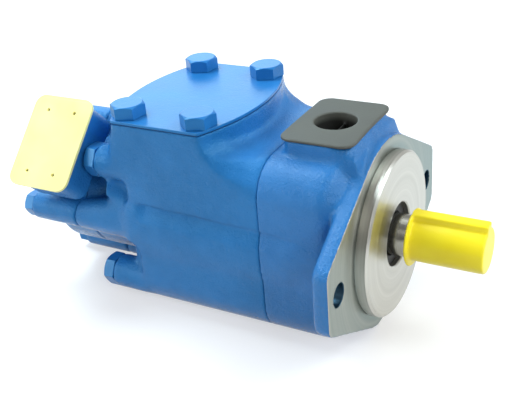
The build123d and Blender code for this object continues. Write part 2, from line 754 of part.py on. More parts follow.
# ----------------------------------------------- front bearing and shaft seal
race_mid_r = (bearing_r + bearing_seat_r) / 2
ball_x = bearing_front_x - bearing_w / 2
with BuildPart() as bearing_outer_race:
    with BuildSketch(Plane.YZ.offset(bearing_front_x - face_gap)):
        Circle(bearing_r - seat_gap)
        Circle(bearing_r - race_t, mode=Mode.SUBTRACT)
    extrude(amount=2 * face_gap - bearing_w)
    with BuildSketch(Plane.XY):
        with Locations((ball_x, race_mid_r)):
            Circle(ball_r + run_gap)
    revolve(axis=Axis.X, mode=Mode.SUBTRACT)
bearing_outer_race.part.label = "bearing_outer_race"
export_step(bearing_outer_race.part, "parts/bearing_outer_race.step")

with BuildPart() as bearing_inner_race:
    with BuildSketch(Plane.YZ.offset(bearing_front_x - face_gap)):
        Circle(bearing_seat_r + race_t)
        Circle(bearing_seat_r + seat_gap, mode=Mode.SUBTRACT)
    extrude(amount=2 * face_gap - bearing_w)
    with BuildSketch(Plane.XY):
        with Locations((ball_x, race_mid_r)):
            Circle(ball_r + run_gap)
    revolve(axis=Axis.X, mode=Mode.SUBTRACT)
bearing_inner_race.part.label = "bearing_inner_race"
export_step(bearing_inner_race.part, "parts/bearing_inner_race.step")

with BuildPart() as bearing_balls:
    with Locations(Plane.YZ.offset(ball_x)):
        with PolarLocations(race_mid_r, ball_count):
            Sphere(ball_r)
bearing_balls.part.label = "bearing_balls"
export_step(bearing_balls.part, "parts/bearing_balls.step")

with BuildPart() as bearing_cage:
    with BuildSketch(Plane.YZ.offset(ball_x - cage_w / 2)):
        Circle(race_mid_r + cage_t / 2)
        Circle(race_mid_r - cage_t / 2, mode=Mode.SUBTRACT)
    extrude(amount=cage_w)
    for k in range(ball_count):
        a = radians(360 / ball_count * k)
        with BuildSketch(Plane(origin=(ball_x, 0, 0), x_dir=(1, 0, 0), z_dir=(0, cos(a), sin(a)))):
            Circle(ball_r + run_gap)
        extrude(amount=race_mid_r + cage_t, mode=Mode.SUBTRACT)
bearing_cage.part.label = "bearing_cage"
export_step(bearing_cage.part, "parts/bearing_cage.step")

with BuildPart() as bearing_circlip:
    with BuildSketch(Plane.YZ.offset(bearing_back_x)):
        Circle(bearing_r + circlip_in - seat_gap)
        Circle(bearing_r - circlip_in, mode=Mode.SUBTRACT)
        with Locations((0, -bearing_r)):
            Rectangle(clip_mouth, 4 * circlip_in, mode=Mode.SUBTRACT)
    extrude(amount=-circlip_t)
bearing_circlip.part.label = "bearing_circlip"
export_step(bearing_circlip.part, "parts/bearing_circlip.step")

with BuildPart() as shaft_circlip:
    with BuildSketch(Plane.YZ.offset(bearing_front_x + face_gap)):
        Circle(bearing_seat_r + circlip_in - 0.2)
        Circle(bearing_seat_r - circlip_in + seat_gap, mode=Mode.SUBTRACT)
        with Locations((0, bearing_seat_r)):
            Rectangle(clip_mouth, 4 * circlip_in, mode=Mode.SUBTRACT)
    extrude(amount=shaft_clip_t - face_gap)
shaft_circlip.part.label = "shaft_circlip"
export_step(shaft_circlip.part, "parts/shaft_circlip.step")

with BuildPart() as shaft_seal:
    with BuildSketch(Plane.XY):
        Polygon(
            (seal_front_x, seal_bore_r - seat_gap),
            (seal_front_x - seal_w + face_gap, seal_bore_r - seat_gap),
            (seal_front_x - seal_w + face_gap, seal_bore_r - 2),
            (seal_front_x - 1.5, seal_bore_r - 2),
            (seal_front_x - 2.5, shaft_r + 2.2),
            (seal_front_x - seal_w + 1, shaft_r + 2.2),
            (seal_front_x - seal_w + 1.5, shaft_r + run_gap),
            (seal_front_x - seal_w + 3, shaft_r + run_gap),
            (seal_front_x, shaft_r + 1.4),
            align=None,
        )
    revolve(axis=Axis.X)
shaft_seal.part.label = "shaft_seal"
export_step(shaft_seal.part, "parts/shaft_seal.step")

with BuildPart() as rear_bush:
    with BuildSketch(Plane.YZ.offset(rear_chamber_end_x)):
        Circle(bush_r - seat_gap)
        Circle(tail_r + run_gap, mode=Mode.SUBTRACT)
    extrude(amount=bush_end_x - rear_chamber_end_x)
rear_bush.part.label = "rear_bush"
export_step(rear_bush.part, "parts/rear_bush.step")


# --------------------------------------- cartridges, one for each pump stage
front_screw_pos = (front_od_r + front_minor_r) / 2
rear_screw_pos = (rear_od_r + rear_minor_r) / 2
front_vane_low = front_minor_r - vane_tip_gap - vane_h
rear_vane_low = rear_minor_r - vane_tip_gap - vane_h


def kidney(r_in, r_out, start):
    """outline of one kidney port"""
    with BuildSketch() as outline:
        with BuildLine():
            CenterArc((0, 0), r_out, start, kidney_span)
            CenterArc((0, 0), r_in, start, kidney_span)
            for a in (start, start + kidney_span):
                Line(
                    (r_in * cos(radians(a)), r_in * sin(radians(a))),
                    (r_out * cos(radians(a)), r_out * sin(radians(a))),
                )
        make_face()
    return outline.sketch


def cam_track(r_major, r_minor):
    """outline of the two-lobed track that the vane tips follow"""
    with BuildSketch() as outline:
        with BuildLine():
            Spline(*[cam_point(r_major, r_minor, 15 * k) for k in range(24)], periodic=True)
        make_face()
    return outline.sketch


def screw_holes(pitch_r, r):
    """two screw holes, cut out of the sketch in hand"""
    with PolarLocations(pitch_r, 2):
        Circle(r, mode=Mode.SUBTRACT)


def vane_slots(low_r, outer_r):
    """radial slots of a rotor, cut out of the sketch in hand"""
    length = outer_r + 2 - low_r + vane_under
    with PolarLocations(low_r - vane_under + length / 2, vane_count, start_angle=vane_start):
        Rectangle(length, vane_t + 2 * vane_side_gap, mode=Mode.SUBTRACT)


def spline_bore(root_r):
    """splined bore of a rotor, cut out of the sketch in hand"""
    Circle(root_r + seat_gap, mode=Mode.SUBTRACT)
    with PolarLocations(root_r - 1, spline_teeth):
        Rectangle(2 * (1 + spline_h + seat_gap), spline_w + 2 * seat_gap, mode=Mode.SUBTRACT)


with BuildPart() as front_cam_ring:
    with BuildSketch(Plane.YZ.offset(front_cam_x)):
        Circle(front_od_r)
        add(cam_track(front_major_r, front_minor_r), mode=Mode.SUBTRACT)
        screw_holes(front_screw_pos, front_screw_r + bolt_gap)
    extrude(amount=-front_cam_w)
front_cam_ring.part.label = "front_cam_ring"
export_step(front_cam_ring.part, "parts/front_cam_ring.step")

with BuildPart() as rear_cam_ring:
    with BuildSketch(Plane.YZ.offset(rear_cam_x)):
        Circle(rear_od_r)
        add(cam_track(rear_major_r, rear_minor_r), mode=Mode.SUBTRACT)
        screw_holes(rear_screw_pos, rear_screw_r + bolt_gap)
    extrude(amount=-rear_cam_w)
rear_cam_ring.part.label = "rear_cam_ring"
export_step(rear_cam_ring.part, "parts/rear_cam_ring.step")

with BuildPart() as front_rotor:
    with BuildSketch(Plane.YZ.offset(front_cam_x - face_gap)):
        Circle(front_rotor_r)
        vane_slots(front_vane_low, front_rotor_r)
        spline_bore(mid_r)
    extrude(amount=2 * face_gap - front_cam_w)
front_rotor.part.label = "front_rotor"
export_step(front_rotor.part, "parts/front_rotor.step")

with BuildPart() as rear_rotor:
    with BuildSketch(Plane.YZ.offset(rear_cam_x - face_gap)):
        Circle(rear_rotor_r)
        vane_slots(rear_vane_low, rear_rotor_r)
        spline_bore(tail_r)
    extrude(amount=2 * face_gap - rear_cam_w)
rear_rotor.part.label = "rear_rotor"
export_step(rear_rotor.part, "parts/rear_rotor.step")

with BuildPart() as front_pressure_plate:
    with BuildSketch(Plane.YZ.offset(front_plate_x)):
        Circle(front_od_r)
        Circle(bearing_seat_r + bolt_gap, mode=Mode.SUBTRACT)
        add(kidney(front_rotor_r - 2, front_major_r + 2, kidney_start + 90), mode=Mode.SUBTRACT)
        add(kidney(front_rotor_r - 2, front_major_r + 2, kidney_start + 270), mode=Mode.SUBTRACT)
        screw_holes(front_screw_pos, front_screw_r + bolt_gap)
    extrude(amount=-front_plate_t)
    with BuildSketch(Plane.YZ.offset(front_plate_x)):
        screw_heads = PolarLocations(front_screw_pos, 2)
        with screw_heads:
            Circle(front_screw_r + screw_head_r_more + bolt_gap)
    extrude(amount=-screw_head_h, mode=Mode.SUBTRACT)
    # neck that closes the bearing bore against the pressure chamber
    with BuildSketch(Plane.YZ.offset(front_plate_x)):
        Circle(bearing_r - neck_step)
        Circle(bearing_seat_r + bolt_gap, mode=Mode.SUBTRACT)
    extrude(amount=neck_bore_end_x - front_plate_x)
    with BuildSketch(Plane.YZ.offset(neck_bore_end_x)):
        Circle(bearing_r - seat_gap)
        Circle(bearing_seat_r + bolt_gap, mode=Mode.SUBTRACT)
    extrude(amount=neck_l)
    with BuildSketch(Plane.YZ.offset(front_plate_x - ring_back)):
        Circle(front_od_r + 1)
        Circle(front_od_r - ring_d, mode=Mode.SUBTRACT)
    extrude(amount=-ring_w, mode=Mode.SUBTRACT)
front_pressure_plate.part.label = "front_pressure_plate"
export_step(front_pressure_plate.part, "parts/front_pressure_plate.step")

with BuildPart() as rear_pressure_plate:
    with BuildSketch(Plane.YZ.offset(rear_plate_end_x)):
        Circle(rear_od_r)
        Circle(tail_r + bolt_gap, mode=Mode.SUBTRACT)
        add(kidney(rear_rotor_r - 2, rear_major_r + 2, kidney_start + 90), mode=Mode.SUBTRACT)
        add(kidney(rear_rotor_r - 2, rear_major_r + 2, kidney_start + 270), mode=Mode.SUBTRACT)
        screw_holes(rear_screw_pos, rear_screw_r + bolt_gap)
    extrude(amount=rear_plate_t)
    with BuildSketch(Plane.YZ.offset(rear_plate_end_x)):
        with PolarLocations(rear_screw_pos, 2):
            Circle(rear_screw_r + screw_head_r_more + bolt_gap)
    extrude(amount=screw_head_h, mode=Mode.SUBTRACT)
    with BuildSketch(Plane.YZ.offset(rear_plate_x - 2)):
        Circle(rear_od_r + 1)
        Circle(rear_od_r - ring_d, mode=Mode.SUBTRACT)
    extrude(amount=-ring_w, mode=Mode.SUBTRACT)
rear_pressure_plate.part.label = "rear_pressure_plate"
export_step(rear_pressure_plate.part, "parts/rear_pressure_plate.step")

with BuildPart() as front_inlet_plate:
    with BuildSketch(Plane.YZ.offset(front_cam_end_x)):
        Circle(front_od_r)
        Circle(mid_r + bolt_gap, mode=Mode.SUBTRACT)
        add(kidney(front_rotor_r - 2, front_major_r + 2, kidney_start), mode=Mode.SUBTRACT)
        add(kidney(front_rotor_r - 2, front_major_r + 2, kidney_start + 180), mode=Mode.SUBTRACT)
        screw_holes(front_screw_pos, front_screw_r + seat_gap)
    extrude(amount=-front_inlet_t)
front_inlet_plate.part.label = "front_inlet_plate"
export_step(front_inlet_plate.part, "parts/front_inlet_plate.step")

with BuildPart() as rear_inlet_plate:
    with BuildSketch(Plane.YZ.offset(rear_inlet_x)):
        Circle(rear_od_r)
        Circle(mid_r + bolt_gap, mode=Mode.SUBTRACT)
        add(kidney(rear_rotor_r - 2, rear_major_r + 2, kidney_start), mode=Mode.SUBTRACT)
        add(kidney(rear_rotor_r - 2, rear_major_r + 2, kidney_start + 180), mode=Mode.SUBTRACT)
        screw_holes(rear_screw_pos, rear_screw_r + seat_gap)
    extrude(amount=-rear_inlet_t)
rear_inlet_plate.part.label = "rear_inlet_plate"
export_step(rear_inlet_plate.part, "parts/rear_inlet_plate.step")

with BuildPart() as cartridge_screws:
    with BuildSketch(Plane.YZ.offset(front_plate_x - 0.5)):
        with PolarLocations(front_screw_pos, 2):
            Circle(front_screw_r + screw_head_r_more)
    extrude(amount=0.5 - screw_head_h)
    with BuildSketch(Plane.YZ.offset(front_plate_x - screw_head_h)):
        with PolarLocations(front_screw_pos, 2):
            Circle(front_screw_r)
    extrude(amount=front_inlet_end_x + 1 - front_plate_x + screw_head_h)
    with BuildSketch(Plane.YZ.offset(rear_plate_end_x + 0.5)):
        with PolarLocations(rear_screw_pos, 2):
            Circle(rear_screw_r + screw_head_r_more)
    extrude(amount=screw_head_h - 0.5)
    with BuildSketch(Plane.YZ.offset(rear_plate_end_x + screw_head_h)):
        with PolarLocations(rear_screw_pos, 2):
            Circle(rear_screw_r)
    extrude(amount=rear_inlet_x - 1 - rear_plate_end_x - screw_head_h)
cartridge_screws.part.label = "cartridge_screws"
export_step(cartridge_screws.part, "parts/cartridge_screws.step")

with BuildPart() as cartridge_seals:
    with BuildSketch(Plane.YZ.offset(front_plate_x - ring_back - seat_gap)):
        Circle(front_od_r)
        Circle(front_od_r - ring_d + seat_gap, mode=Mode.SUBTRACT)
    extrude(amount=2 * seat_gap - ring_w)
    with BuildSketch(Plane.YZ.offset(rear_plate_x - 2 - seat_gap)):
        Circle(rear_od_r)
        Circle(rear_od_r - ring_d + seat_gap, mode=Mode.SUBTRACT)
    extrude(amount=2 * seat_gap - ring_w)
cartridge_seals.part.label = "cartridge_seals"
export_step(cartridge_seals.part, "parts/cartridge_seals.step")

# ---------------------------------------- vanes and the inserts under them
with BuildPart() as vane_inserts:
    for mid_x, low_r in (
        (front_cam_x - front_cam_w / 2, front_vane_low),
        (rear_cam_x - rear_cam_w / 2, rear_vane_low),
    ):
        with BuildSketch(Plane.YZ.offset(mid_x + insert_w / 2)):
            with PolarLocations(low_r - vane_under + insert_h / 2 + 0.02, vane_count, start_angle=vane_start):
                Rectangle(insert_h, vane_t)
        extrude(amount=-insert_w)
vane_inserts.part.label = "vane_inserts"
export_step(vane_inserts.part, "parts/vane_inserts.step")

for stage, cam_x, cam_w, low_r in (
    ("front", front_cam_x, front_cam_w, front_vane_low),
    ("rear", rear_cam_x, rear_cam_w, rear_vane_low),
):
    for k in range(vane_count):
        with BuildPart() as vane:
            with BuildSketch(Plane.YZ.offset(cam_x - 2 * face_gap)):
                with PolarLocations(0, 1, start_angle=vane_start + 360 / vane_count * k):
                    Polygon(
                        (low_r, -vane_t / 2),
                        (low_r + vane_h - vane_tip_bevel, -vane_t / 2),
                        (low_r + vane_h, vane_tip_bevel - vane_t / 2),
                        (low_r + vane_h, vane_t / 2 - vane_tip_bevel),
                        (low_r + vane_h - vane_tip_bevel, vane_t / 2),
                        (low_r, vane_t / 2),
                        align=None,
                    )
            extrude(amount=4 * face_gap - cam_w)
            with BuildSketch(Plane.YZ.offset(cam_x - cam_w / 2 + insert_w / 2 + 2 * face_gap)):
                with PolarLocations(0, 1, start_angle=vane_start + 360 / vane_count * k):
                    with Locations((low_r + insert_h / 2, 0)):
                        Rectangle(insert_h, vane_t + 1)
            extrude(amount=-insert_w - 4 * face_gap, mode=Mode.SUBTRACT)
        vane.part.label = f"{stage}_vane_{k + 1:02d}"
        export_step(vane.part, f"parts/{stage}_vane_{k + 1:02d}.step")
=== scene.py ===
import json
import math

import bmesh
import bpy
import numpy as np
from mathutils import Matrix, Vector


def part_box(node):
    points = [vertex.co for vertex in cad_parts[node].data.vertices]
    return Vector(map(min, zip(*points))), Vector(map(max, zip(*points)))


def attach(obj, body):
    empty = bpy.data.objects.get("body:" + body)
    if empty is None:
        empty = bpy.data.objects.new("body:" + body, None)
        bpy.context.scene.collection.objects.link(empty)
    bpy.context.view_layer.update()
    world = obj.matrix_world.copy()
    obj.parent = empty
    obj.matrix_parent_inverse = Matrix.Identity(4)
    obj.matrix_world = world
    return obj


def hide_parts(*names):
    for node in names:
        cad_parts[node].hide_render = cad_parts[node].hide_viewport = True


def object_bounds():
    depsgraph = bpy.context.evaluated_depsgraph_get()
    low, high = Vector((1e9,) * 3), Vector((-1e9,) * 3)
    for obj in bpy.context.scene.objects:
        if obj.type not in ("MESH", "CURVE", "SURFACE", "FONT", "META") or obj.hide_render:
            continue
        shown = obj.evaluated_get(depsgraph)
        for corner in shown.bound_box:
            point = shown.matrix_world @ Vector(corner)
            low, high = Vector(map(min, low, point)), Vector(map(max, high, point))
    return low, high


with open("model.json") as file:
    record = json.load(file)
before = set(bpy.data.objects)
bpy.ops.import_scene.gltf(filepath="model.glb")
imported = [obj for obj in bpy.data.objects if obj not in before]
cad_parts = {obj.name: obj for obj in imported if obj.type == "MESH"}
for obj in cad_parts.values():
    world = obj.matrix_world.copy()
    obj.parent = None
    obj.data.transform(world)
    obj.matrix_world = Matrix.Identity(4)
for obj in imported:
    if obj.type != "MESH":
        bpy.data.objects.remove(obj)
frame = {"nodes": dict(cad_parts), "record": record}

MM = 0.001
WELD = 2e-6                  # corners of the solids nearer than this, in metres, are one corner
FLAT = 0.012                 # faces that turn less than this, in radians, are one face
SHARP = math.radians(32)     # edges that turn more than this stay sharp

# Lengths below are in mm unless a line says otherwise. The flange face lies at x = 0.
FACE_EDGE_X = -0.35          # metal past this x is milled bare, the paint ends here
BORE_REACH = 27.0            # and so is what lies nearer to the axis
HOLE_Y = 90.5                # the two bolt holes of the flange
HOLE_R = 8.75
HOLE_EDGE = 0.35             # bare ring round each of them
FLANGE_BACK = -13.5
PAD_TOP = 83.3               # outlet pad of the front casting
BOX_TOP = 90.5               # top of the inlet box

cad_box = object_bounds()
front_low, front_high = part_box("front_body")
SEAM_X = front_low.x / MM                     # joint of the front casting and the housing
PILOT_END = front_high.x / MM
COVER_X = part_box("rear_cover")[1].x / MM      # front face of the rear cover
nodes = frame["nodes"]
body_of = {node: body for body, group in frame["record"]["behaviour"]["bodies"].items() for node in group}


# ---------------------------------------------------------------- shader nodes

WHITE = (1, 1, 1)
TONE_LOW = 0.3               # most of what a noise gives lies between these two
TONE_HIGH = 0.7
TURNED_PITCH = 0.0004        # scale of the lathe marks on turned parts, in metres
FACE_PITCH = 0.0005          # and on the flange face


def put(tree, kind, **settings):
    """A new node of that kind."""
    node = tree.nodes.new(kind)
    for key, value in settings.items():
        setattr(node, key, value)
    return node


def math_node(tree, operation, first, second=None):
    """One Math node; a socket or a number may be given for each side."""
    node = put(tree, "ShaderNodeMath", operation=operation)
    for socket, value in zip(node.inputs, (first, second)):
        if isinstance(value, (int, float)):
            socket.default_value = value
        elif value is not None:
            tree.links.new(value, socket)
    return node.outputs[0]


def parts_of(tree, vector):
    """The three numbers of a vector."""
    apart = put(tree, "ShaderNodeSeparateXYZ")
    tree.links.new(vector, apart.inputs[0])
    return apart.outputs


def distance(tree, first, second):
    """The length of the pair (first, second)."""
    squares = [math_node(tree, "MULTIPLY", side, side) for side in (first, second)]
    return math_node(tree, "SQRT", math_node(tree, "ADD", *squares))


def ramp(tree, value, low, high):
    """A colour that goes from low to high as value goes through the middle of a noise."""
    node = put(tree, "ShaderNodeValToRGB")
    stops = node.color_ramp.elements
    stops[0].position = TONE_LOW
    stops[0].color = (*low, 1)
    stops[1].position = TONE_HIGH
    stops[1].color = (*high, 1)
    tree.links.new(value, node.inputs["Fac"])
    return node.outputs["Color"]


def spread(tree, value, low, high, start=TONE_LOW, end=TONE_HIGH):
    """A number that goes from low to high as value goes from start to end."""
    node = put(tree, "ShaderNodeMapRange")
    node.inputs["From Min"].default_value = start
    node.inputs["From Max"].default_value = end
    node.inputs["To Min"].default_value = low
    node.inputs["To Max"].default_value = high
    tree.links.new(value, node.inputs["Value"])
    return node.outputs["Result"]


def mixed(tree, share, first, second):
    """The number first where share is 0 and second where it is 1."""
    node = put(tree, "ShaderNodeMix", data_type="FLOAT")
    tree.links.new(share, node.inputs["Factor"])
    tree.links.new(first, node.inputs["A"])
    tree.links.new(second, node.inputs["B"])
    return node.outputs["Result"]


def mixed_colour(tree, share, first, second):
    """The same for colours; each is a socket or a colour of its own."""
    node = put(tree, "ShaderNodeMix", data_type="RGBA")
    tree.links.new(share, node.inputs["Factor"])
    for index, value in ((6, first), (7, second)):      # the node's two colour sockets
        if isinstance(value, tuple):
            node.inputs[index].default_value = (*value, 1)
        else:
            tree.links.new(value, node.inputs[index])
    return node.outputs[2]                              # and its colour result


def noise_node(tree, place, scale, detail, rough):
    """A noise with scale waves to the unit of place."""
    node = put(tree, "ShaderNodeTexNoise")
    node.inputs["Scale"].default_value = scale
    node.inputs["Detail"].default_value = detail
    node.inputs["Roughness"].default_value = rough
    tree.links.new(place, node.inputs["Vector"])
    return node.outputs["Fac"]


# ---------------------------------------------------------------- shader groups: one for each kind of surface

def skin_group(name, **numbers):
    """An empty node group: a Vector and the given numbers go in, Height and Tone come out.
    It returns the tree and its two ends."""
    tree = bpy.data.node_groups.new(name, "ShaderNodeTree")
    tree.interface.new_socket(name="Vector", in_out="INPUT", socket_type="NodeSocketVector")
    for label, value in numbers.items():
        socket = tree.interface.new_socket(name=label, in_out="INPUT", socket_type="NodeSocketFloat")
        socket.default_value = value
    for label in ("Height", "Tone"):
        tree.interface.new_socket(name=label, in_out="OUTPUT", socket_type="NodeSocketFloat")
    return tree, tree.nodes.new("NodeGroupInput"), tree.nodes.new("NodeGroupOutput")


def cast_skin_group():
    """Sand-cast metal under paint: Height has grain of under 1 mm, pits of 2 mm and slow waves;
    Tone goes slowly up and down across the casting, for colour and gloss."""
    tree, start, end = skin_group("cast_skin")
    place = start.outputs["Vector"]
    grain = noise_node(tree, place, 1100.0, 2.0, 0.6)
    pits = noise_node(tree, place, 520.0, 2.0, 0.5)
    waves = noise_node(tree, place, 90.0, 2.0, 0.5)
    total = math_node(tree, "ADD", grain, math_node(tree, "MULTIPLY", pits, 1.3))
    total = math_node(tree, "ADD", total, math_node(tree, "MULTIPLY", waves, 1.2))
    tree.links.new(total, end.inputs["Height"])
    tree.links.new(noise_node(tree, place, 22.0, 3.0, 0.55), end.inputs["Tone"])
    return tree


def turned_group():
    """Lathe marks round the X axis: a noise along the distance from it, on the scale of Pitch, makes
    uneven rings; Tone is the same with wider rings."""
    tree, start, end = skin_group("turned_marks", Pitch=TURNED_PITCH)
    x, y, z = parts_of(tree, start.outputs["Vector"])
    along = math_node(tree, "ADD", distance(tree, y, z), x)
    rings = math_node(tree, "DIVIDE", along, start.outputs["Pitch"])
    wider = math_node(tree, "MULTIPLY", rings, 0.08)
    for label, value, scale, detail in (("Height", rings, 0.6, 2.0), ("Tone", wider, 1.0, 3.0)):
        track = put(tree, "ShaderNodeCombineXYZ")
        tree.links.new(value, track.inputs["X"])
        tree.links.new(noise_node(tree, track.outputs[0], scale, detail, 0.6), end.inputs[label])
    return tree


def moulded_group():
    """Moulded plastic: a faint orange peel for Height and slow clouds for Tone."""
    tree, start, end = skin_group("moulded_skin")
    for label, scale in (("Height", 420.0), ("Tone", 35.0)):
        tree.links.new(noise_node(tree, start.outputs["Vector"], scale, 2.0, 0.5), end.inputs[label])
    return tree


GROUPS = {"cast": cast_skin_group(), "turned": turned_group(), "moulded": moulded_group()}


def skin_node(tree, place, kind):
    """The group of that kind of surface, at place."""
    node = put(tree, "ShaderNodeGroup", node_tree=GROUPS[kind])
    tree.links.new(place, node.inputs["Vector"])
    return node


# ---------------------------------------------------------------- materials

SHADED_FACE_LOW = (0.32, 0.305, 0.26)        # milled flange face, set darker than the pilot's steel as painted shade
SHADED_FACE_HIGH = (0.48, 0.455, 0.40)
FACE_GLOSS = (0.34, 0.48)
FACE_RELIEF = 0.06                    # relief of its lathe marks, as a share of the casting's
HOLE_PAINTED_SHADE = (0.035, 0.075, 0.11)    # painted shade: the bolt holes are darkened inside, where shade falls
CUP_PAINTED_SHADE = (0.004, 0.004, 0.004)     # the cup of the grey plug gets painted shade too, which darkens over this depth until this share of its colour is left
CUP_SHADE_DEPTH = 4.0                        # which darkens over this depth
CUP_SHADE_SHARE = 0.12                      # until this share of its colour is left
STEEL_LOW = (0.46, 0.455, 0.41)
STEEL_HIGH = (0.62, 0.615, 0.57)
BLUE_LOW = (0.013, 0.140, 0.400)
BLUE_HIGH = (0.026, 0.190, 0.515)
SHEEN = (0.25, 0.75, 1.0)             # the enamel reflects blue, not white
FRONT_SHEEN = (0.62, 0.88, 1.0)       # less so where bare metal shares the material


def milled_masks(tree, place):
    """1 in the bolt holes of the flange, and 1 on all bare metal: flange face, bore and holes."""
    x, y, z = parts_of(tree, place)
    face = math_node(tree, "GREATER_THAN", x, FACE_EDGE_X * MM)
    bore = math_node(tree, "LESS_THAN", distance(tree, y, z), BORE_REACH * MM)
    off = math_node(tree, "SUBTRACT", math_node(tree, "ABSOLUTE", y), HOLE_Y * MM)
    hole = math_node(tree, "LESS_THAN", distance(tree, off, z), (HOLE_R + HOLE_EDGE) * MM)
    return hole, math_node(tree, "MAXIMUM", face, math_node(tree, "MAXIMUM", bore, hole))


def lay_bare(tree, shader, place, colour, rough, height, coat):
    """Bare metal in place of paint and coat where the masks say so, darkened as painted shade; the bolt holes
    get painted shade inside.
    """
    hole, mask = milled_masks(tree, place)
    metal = skin_node(tree, place, "turned")
    metal.inputs["Pitch"].default_value = FACE_PITCH
    # the milled face's colour is kept darker than the pilot's steel as painted shade
    colour = mixed_colour(tree, mask, colour, ramp(tree, metal.outputs["Tone"], SHADED_FACE_LOW, SHADED_FACE_HIGH))
    # painted shade: the inside of the bolt holes is darkened
    colour = mixed_colour(tree, hole, colour, HOLE_PAINTED_SHADE)
    rough = mixed(tree, mask, rough, spread(tree, metal.outputs["Tone"], *FACE_GLOSS))
    height = mixed(tree, mask, height, math_node(tree, "MULTIPLY", metal.outputs["Height"], FACE_RELIEF))
    tree.links.new(mask, shader.inputs["Metallic"])
    painted = math_node(tree, "SUBTRACT", 1.0, mask)
    tree.links.new(math_node(tree, "MULTIPLY", painted, coat), shader.inputs["Coat Weight"])
    return colour, rough, height


def finish_material(name, skin, low, high, gloss, bump, metallic=0.0, coat=0.0, coat_gloss=0.1,
                    specular=0.5, tint=WHITE, bare=False, painted_shade_below=None):
    """A material from one skin group: its Tone leads from colour low to high and through the two
    roughnesses of gloss, its Height is a relief of bump mm. With bare, the milled faces show metal,
    with painted shade on the face and in the holes; below the height given for it the colour goes to
    black, as painted shade in the cup of the plug."""
    material = bpy.data.materials.new(name)
    material.use_nodes = True
    tree = material.node_tree
    shader = tree.nodes["Principled BSDF"]
    shader.inputs["Metallic"].default_value = metallic
    shader.inputs["Specular IOR Level"].default_value = specular
    shader.inputs["Specular Tint"].default_value = (*tint, 1)
    shader.inputs["Coat Weight"].default_value = coat
    shader.inputs["Coat Roughness"].default_value = coat_gloss
    place = put(tree, "ShaderNodeTexCoord").outputs["Object"]
    surface = skin_node(tree, place, skin)
    colour = ramp(tree, surface.outputs["Tone"], low, high)
    rough = spread(tree, surface.outputs["Tone"], *gloss)
    height = surface.outputs["Height"]
    if bare:
        colour, rough, height = lay_bare(tree, shader, place, colour, rough, height, coat)
    # painted shade: below that height the colour darkens to black, where shade falls in the plug's cup
    if painted_shade_below is not None:
        level = parts_of(tree, place)["Z"]
        share = spread(tree, level, CUP_SHADE_SHARE, 1.0, (painted_shade_below - CUP_SHADE_DEPTH) * MM, painted_shade_below * MM)
        colour = mixed_colour(tree, share, CUP_PAINTED_SHADE, colour)
    tree.links.new(colour, shader.inputs["Base Color"])
    tree.links.new(rough, shader.inputs["Roughness"])
    relief = put(tree, "ShaderNodeBump")
    relief.inputs["Strength"].default_value = 1.0
    relief.inputs["Distance"].default_value = bump * MM
    tree.links.new(height, relief.inputs["Height"])
    tree.links.new(relief.outputs["Normal"], shader.inputs["Normal"])
    return material


enamel = dict(skin="cast", low=BLUE_LOW, high=BLUE_HIGH)
cast_paint = dict(enamel, gloss=(0.15, 0.26), bump=0.45, coat=0.03, coat_gloss=0.2)
MATERIALS = {
    "blue_cast": finish_material("blue_cast_paint", tint=SHEEN, **cast_paint),
    "blue_front": finish_material(
        "blue_cast_paint_and_milled_face", tint=FRONT_SHEEN, specular=0.45, bare=True, **cast_paint),
    "blue_smooth": finish_material(
        "blue_paint_on_machined_parts", gloss=(0.28, 0.36), bump=0.08, coat=0.10, coat_gloss=0.15,
        tint=SHEEN, **enamel),
    "steel": finish_material(
        "turned_steel", "turned", STEEL_LOW, STEEL_HIGH, gloss=(0.26, 0.40), bump=0.03, metallic=1.0),
    "shaft_steel": finish_material(
        "ground_steel", "turned", (0.40, 0.39, 0.36), (0.56, 0.55, 0.51), gloss=(0.18, 0.3), bump=0.01,
        metallic=1.0),
    "dark_steel": finish_material(
        "oiled_steel", "cast", (0.16, 0.16, 0.16), (0.24, 0.24, 0.23), gloss=(0.3, 0.45), bump=0.03,
        metallic=1.0),
    "bronze": finish_material(
        "bronze", "turned", (0.45, 0.27, 0.10), (0.58, 0.36, 0.15), gloss=(0.3, 0.42), bump=0.02,
        metallic=1.0),
    # its cup is darkened below 82.5 mm as painted shade
    "grey_plastic": finish_material(
        "grey_green_plastic", "moulded", (0.072, 0.076, 0.066), (0.092, 0.098, 0.084), gloss=(0.5, 0.62),
        bump=0.10, specular=0.4, painted_shade_below=82.5),
    "pale_yellow": finish_material(
        "pale_yellow_plastic", "moulded", (0.93, 0.85, 0.33), (0.98, 0.92, 0.40), gloss=(0.35, 0.48),
        bump=0.04),
    "yellow": finish_material(
        "yellow_plastic", "moulded", (0.93, 0.75, 0.010), (0.98, 0.82, 0.022), gloss=(0.26, 0.38),
        bump=0.05, specular=0.4),
    "rubber": finish_material(
        "seal_rubber", "moulded", (0.012, 0.012, 0.012), (0.025, 0.025, 0.024), gloss=(0.5, 0.65),
        bump=0.03),
    "gasket": finish_material(
        "painted_over_gasket", "cast", (0.002, 0.045, 0.15), (0.005, 0.07, 0.22), gloss=(0.6, 0.75),
        bump=0.04, specular=0.3),
}


# ---------------------------------------------------------------- meshes

def piece(name, mesh, material, body, replaces=()):
    """The mesh as one named piece that moves with body."""
    mesh.materials.clear()
    mesh.materials.append(MATERIALS[material])
    obj = bpy.data.objects.new(name, mesh)
    bpy.context.scene.collection.objects.link(obj)
    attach(obj, body)
    if replaces:
        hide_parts(*replaces)
    return obj


